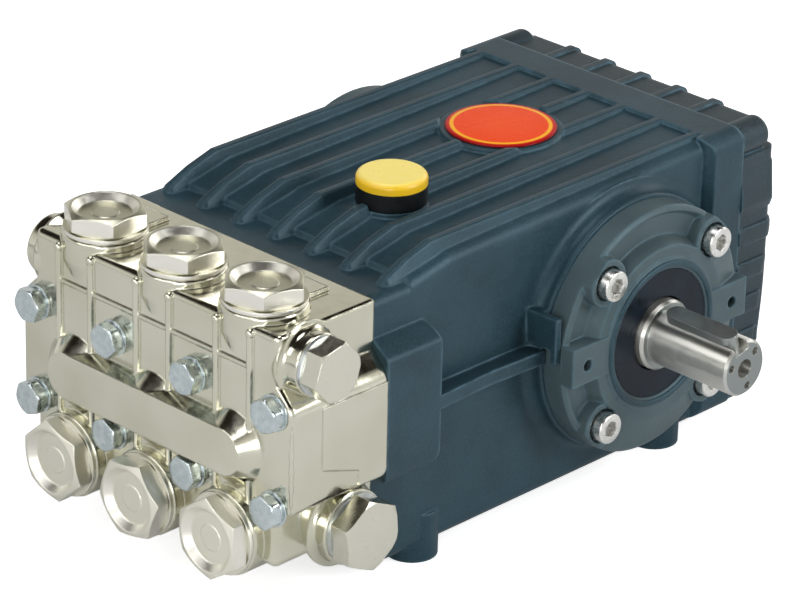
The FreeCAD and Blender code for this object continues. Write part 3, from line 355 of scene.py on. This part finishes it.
def rear_corner_pad(side, height):
    """A low pad that wraps the rear cover's corner. Along it: 14 mm of the side, a quarter turn, 9 mm of the
    back. Across it: an oval 8.6 tall that stands 1.15 proud, squared off by the roots of its sine and cosine,
    and thinned at both ends by a low power of half a sine. The back leans in by 6.5 over 57 below the highest
    pad."""
    wide, back, bend, rise = 72.5, 127.5, 5.0, 1.15
    start, end, half, gap = 108.5, 58.5, 4.3, 0.8
    turn = np.linspace(0, np.pi / 2, 12)
    x = np.concatenate([np.full(8, wide), wide - bend + bend * np.cos(turn),
                        np.linspace(wide - bend - gap, end, 8)])
    y = np.concatenate([np.linspace(start, back - bend - gap, 8), back - bend + bend * np.sin(turn),
                        np.full(8, back)])
    nx = np.concatenate([np.ones(8), np.cos(turn), np.zeros(8)])
    ny = np.concatenate([np.zeros(8), np.sin(turn), np.ones(8)])
    fade = np.sin(np.linspace(0, np.pi, len(x))) ** 0.15
    around = np.linspace(0, 2 * np.pi, 28, endpoint=False)[:, None]
    out = rise * fade * np.sign(np.sin(around)) * np.abs(np.sin(around)) ** 0.5
    up = half * np.sign(np.cos(around)) * np.abs(np.cos(around)) ** 0.5 * np.ones(len(x))
    z = height + up
    lean = 6.5 * np.clip((PAD_TOP - z) / 57, 0, 1)
    points = np.stack([side * (x + nx * out), y + ny * out - lean, z], -1)
    return points[::-1] if side < 0 else points


def flash_bead():
    """A low bead up the head's right front corner: an ellipse, turned to the corner's 45 degrees, that
    reaches 1.0 to each side and stands 0.42 proud. Both fade towards the ends with the root of half a sine,
    and both are multiplied by 1 plus two small sines of the height."""
    corner_x, corner_y, low, high, stations = 76.2, -157.9, 53.0, 92.5, 70
    along = np.linspace(low, high, stations)
    fade = np.sqrt(np.sin(np.linspace(0.02, np.pi - 0.02, stations)))
    wave = 1 + 0.14 * np.sin(along * 0.9) + 0.1 * np.sin(along * 2.3 + 1)
    around = np.linspace(0, 2 * np.pi, 20, endpoint=False)[:, None]
    across, proud = 1.0 * fade * wave * np.cos(around), 0.42 * fade * wave * np.sin(around)
    bead = np.stack([corner_x + (across + proud) / math.sqrt(2), corner_y + (across - proud) / math.sqrt(2),
                     along + 0 * across], -1)
    return bead[::-1]


place_camera()
bpy.context.scene.view_settings.view_transform = "Standard"

# One enamel in three shades: the rear cover's is greyer, and the bearing covers' is paler.
enamel = enamelled_cast_aluminium("enamelled_cast_aluminium", "#1d3038", "#263e48")
rear_enamel = enamelled_cast_aluminium("enamelled_rear_cover", "#20292d", "#2a3438")
cover_enamel = enamelled_cast_aluminium("enamelled_bearing_cover", "#414f52", "#4c5b5e")
nickel = nickel_plated_forged_brass()
# Blue-passivated zinc on cold-headed steel: pale, cool and a little hazy.
blue_zinc = drawn_or_moulded("blue_zinc_on_steel", "#b3bfc3", "#c8d1d3", low=0.2, high=0.34, patch=3,
                             grain=0.7, depth=0.05, edge=0.4, Metallic=1.0)
# The cover screws have a whiter zinc.
white_zinc = drawn_or_moulded("white_zinc_on_steel", "#d6d6d3", "#e6e5e2", low=0.22, high=0.36, patch=2,
                              grain=0.6, depth=0.05, edge=0.4, Metallic=1.0)
# Nitrile rubber moulded against polished steel: blue-black, with a soft sheen.
rubber = drawn_or_moulded("moulded_nitrile_rubber", "#0d151c", "#121c25", low=0.24, high=0.34, patch=8,
                          grain=0.8, depth=0.03, edge=0.4, IOR=1.52, Specular_IOR_Level=0.26,
                          Specular_Tint="#b4c4dc")
# Shaft steel, ground round and faced at its end. The end face is given a darker colour, a painted reflection
# of the dim surround that it faces.
steel = lathe_turned("ground_shaft_steel", (0, SHAFT_Y, SHAFT_Z), "x", rim="#d2d1cb", face="#8d9392",
                     low=0.3, high=0.38, pitch=0.5, depth=0.02, edge=0.3, lines=0.9)
# Bright-drawn key steel, oiled and darker than the ground shaft.
key_steel = drawn_or_moulded("drawn_key_steel", "#979d9c", "#9fa4a3", low=0.33, high=0.38, patch=4,
                             grain=0.6, depth=0.03, edge=0.4, Metallic=1.0)
# Annealed aluminium sealing washers: dull white metal.
soft_metal = drawn_or_moulded("annealed_aluminium", "#bfc5c8", "#d5dadc", low=0.26, high=0.4, patch=3,
                              grain=0.6, depth=0.03, edge=0.3, Metallic=1.0)
# Black nylon, moulded matt.
black_nylon = drawn_or_moulded("moulded_black_nylon", "#0c0f11", "#121618", low=0.36, high=0.5, patch=5,
                               grain=0.7, depth=0.04, edge=0.5, IOR=1.53, Specular_IOR_Level=0.2)
# Gear oil behind a clear moulded window, in a black nylon rim.
oil_window = ringed("oil_window_in_nylon_rim", (0, 132, SHAFT_Z), (1, 0, 1),
                    ((0.0, "#8a6420"), (0.085, "#7a5619"), (0.094, "#3a2c12"), (0.1, "#101315"),
                     (0.16, "#15181a")), low=0.1, high=0.22, IOR=1.5, Coat_Weight=0.4)
# Red enamel under clear resin, with one thin orange-yellow line round it and a darker edge.
disc_enamel = ringed("domed_red_enamel", (0, DISC_Y, 136), (1, 1, 0),
                     ((0.0, "#f8500a"), (0.196, "#f44808"), (0.199, "#ffb524"), (0.212, "#ffb524"),
                      (0.215, "#cf2417"), (0.224, "#c01c16"), (0.23, "#8f0f14")),
                     low=0.24, high=0.36, IOR=1.5, Specular_IOR_Level=0.08, Coat_Weight=0.06,
                     Coat_Roughness=0.06)

finishes = {
    "crankcase": enamel, "rear_cover": rear_enamel, "drive_bearing_cover": cover_enamel,
    "blind_bearing_cover": cover_enamel, "manifold": nickel, "shaft_seal": rubber, "crankshaft": steel,
    "shaft_key": key_steel, "filler_cap_base": black_nylon, "oil_filler_cap": yellow_nylon(),
    "oil_sight_glass": oil_window, "oil_drain_plug": blue_zinc,
}
# Nickel-plated valve caps with turned dishes, a little darker in the ones on top.
for index in range(3):
    across = VALVE_PITCH * (index - 1)
    finishes["delivery_valve_cap_%d" % (index + 1)] = lathe_turned(
        "turned_nickel_top_%d" % (index + 1), (across, DELIVERY_CAP_Y, 135), "z",
        rim="#e6e4dc", face="#c6c4ae", low=0.3, high=0.4, pitch=0.6, depth=0.02, edge=0.7)
    finishes["suction_valve_cap_%d" % (index + 1)] = lathe_turned(
        "turned_nickel_front_%d" % (index + 1), (across, -165, SUCTION_CAP_Z), "y",
        rim="#e6e4dc", face="#dedccf", low=0.3, high=0.4, pitch=0.6, depth=0.02, edge=0.7)
# Nickel-plated port plugs, faced finer.
for port, y, z in (("outlet", OUTLET_Y, OUTLET_Z), ("inlet", INLET_Y, INLET_Z)):
    plug = lathe_turned("turned_nickel_" + port, (0, y, z), "x", rim="#d4d2c5", face="#d4d2c5",
                        low=0.18, high=0.28, pitch=0.6, depth=0.015, edge=0.6)
    for side in ("right", "left"):
        finishes["%s_plug_%s" % (port, side)] = plug
        finishes["%s_washer_%s" % (port, side)] = soft_metal
for name, made in finishes.items():
    nodes[name].data.materials.clear()
    nodes[name].data.materials.append(made)

places = [(x, z) for x in BOLT_COLUMNS for z in BOLT_ROWS]
bolts = [grid for (x, z), turn in zip(places, BOLT_TURNS) for grid in head_bolt(x, z, turn)]
build("head_bolts", bolts, blue_zinc)

reach = SCREW_CIRCLE / math.sqrt(8)  # from the shaft's axis to a screw, across and up
for label, axis, sign in (("drive", "x", 1), ("blind", "-x", -1)):
    # Each socket stands turned by its own number of degrees.
    screws = [cap_screw(axis, (sign * SCREW_SEAT_X, SHAFT_Y + reach * across, SHAFT_Z + reach * up),
                        turn=17 * across + 9 * up)
              for across in (-1, 1) for up in (-1, 1)]
    build(label + "_cover_screws", screws, white_zinc)

pads = [rear_corner_pad(side, PAD_TOP - PAD_STEP * index) for side in (1, -1) for index in range(4)]
build("rear_corner_pads", pads, rear_enamel, smooth=50)

# The drive cover's bore has a low rounded lip round the seal, a little back from the seal's edge. It takes
# the crankcase's darker enamel, not the cover's paler one: painted shade for the lip's shaded walls.
lip = [(0, 28.6), (0, 31.6), (1.2, 31.5), (1.55, 31.2), (1.7, 30.7), (1.7, 29.5), (1.55, 29.0), (1.2, 28.7),
       (0, 28.6)]
build("seal_lip", [turned(lip, "x", (91.2, SHAFT_Y, SHAFT_Z), 144)], enamel)

# The left outlet is closed by a plug with a low collar and a hexagon socket, where the solids have a hexagon
# head and a washer.
collar = [(0.35, 0.01), (0.35, 4.6), (1.45, 4.6), (1.6, 4.9), (1.6, 9.7), (1.35, 10.2), (0.9, 10.4),
          (0, 10.4)]
low_plug = build("low_outlet_plug",
                 [turned(collar, "-x", (-76.6, OUTLET_Y, OUTLET_Z), 96, turn=12, socket=3)],
                 finishes["outlet_plug_left"])
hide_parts("outlet_plug_left", "outlet_washer_left")

# The head's forging dies met along its front corner and left a low, slightly wavy bead there.
build("forging_flash_bead", [flash_bead()], nickel, smooth=60)

# A thin disc on the deck's pad, 46.6 across. Its rim is 0.85 high and its dome rises another 0.5.
dome = [(0, 22.9), (0.35, 23.3), (0.6, 23.25), (0.85, 22.9), (1.0, 22.2), (1.15, 19), (1.3, 13), (1.36, 6),
        (1.38, 1)]
build("deck_disc", [turned(dome, "z", (0, DISC_Y, 135.0), 96)], disc_enamel,
      smooth=60)


# Stage: a pale floor that takes the shadow, a bright surround and five soft lamps
def lamp(name, where, size, power):
    """A rectangular soft lamp that faces the pump's middle: its own z axis is the line back from there."""
    data = bpy.data.lights.new(name, "AREA")
    data.shape = "RECTANGLE"
    data.size, data.size_y = size
    data.energy = power
    made = add_object(name, data)
    back = np.array(where, float) - np.array((0, 0, 0.07), float)
    back /= np.linalg.norm(back)
    side = np.cross((0, 0, 1), back)
    side /= np.linalg.norm(side)
    matrix = np.eye(4)
    matrix[:3, 0], matrix[:3, 1], matrix[:3, 2], matrix[:3, 3] = side, np.cross(back, side), back, where
    made.matrix_world = Matrix(matrix)


# Bright metal shows the studio: a pale sweep that fades with height, and an unlit ceiling above it.
# The camera sees white, and all other rays see a weak even light.
world = bpy.data.worlds.new("studio")
bpy.context.scene.world = world
tree = emptied_tree(world)
height = add(tree, "SeparateXYZ", Vector=add(tree, "TexCoord").outputs["Generated"])
sweep = add(tree, "MapRange", Value=height.outputs["Z"], From_Min=0.0, From_Max=0.45)
pale = add(tree, "Mix", data_type="RGBA", Factor=sweep, in6="#fbfbfa", in7="#dcd9d1")
unlit = add(tree, "MapRange", Value=height.outputs["Z"], From_Min=0.46, From_Max=0.6)
studio = add(tree, "Mix", data_type="RGBA", Factor=unlit, in6=pale.outputs[2], in7="#231e19")
path = add(tree, "LightPath")
ambient = add(tree, "Background", Color="#ffffff", Strength=0.22)
mirrored = add(tree, "Background", Color=studio.outputs[2], Strength=1.0)
backdrop = add(tree, "Background", Color="#ffffff", Strength=1.0)
lit = add(tree, "MixShader", in0=path.outputs["Is Glossy Ray"], in1=ambient, in2=mirrored)
both = add(tree, "MixShader", in0=path.outputs["Is Camera Ray"], in1=lit, in2=backdrop)
add(tree, "OutputWorld", Surface=both)

lamp("top_softbox", where=(-0.2, -0.1, 1.3), size=(0.6, 0.5), power=4.4)
lamp("front_softbox", where=(-0.1, -1.4, 1.0), size=(1.5, 0.6), power=8.5)
lamp("side_softbox", where=(1.4, 0.6, 0.8), size=(0.6, 0.8), power=14)
lamp("low_softbox", where=(0.9, -1.4, 0.3), size=(0.8, 0.4), power=6)
lamp("rear_softbox", where=(0.1, 1.6, 0.7), size=(1.2, 0.6), power=4)

# The floor is matt paper, lifted to white for the camera.
floor_mesh = bpy.data.meshes.new("floor")
floor_mesh.from_pydata([(-6, -6, 0), (6, -6, 0), (6, 6, 0), (-6, 6, 0)], [], [(0, 1, 2, 3)])
add_object("floor", floor_mesh)
material = bpy.data.materials.new("pale_floor")
tree = emptied_tree(material)
paper = add(tree, "BsdfDiffuse", Color="#f6f6f6")
glow = add(tree, "Emission", Color="#ffffff", Strength=0.7)
bright = add(tree, "AddShader", in0=paper, in1=glow)
shown = add(tree, "MixShader", in0=add(tree, "LightPath").outputs["Is Camera Ray"], in1=paper, in2=bright)
add(tree, "OutputMaterial", Surface=shown)
floor_mesh.materials.append(material)
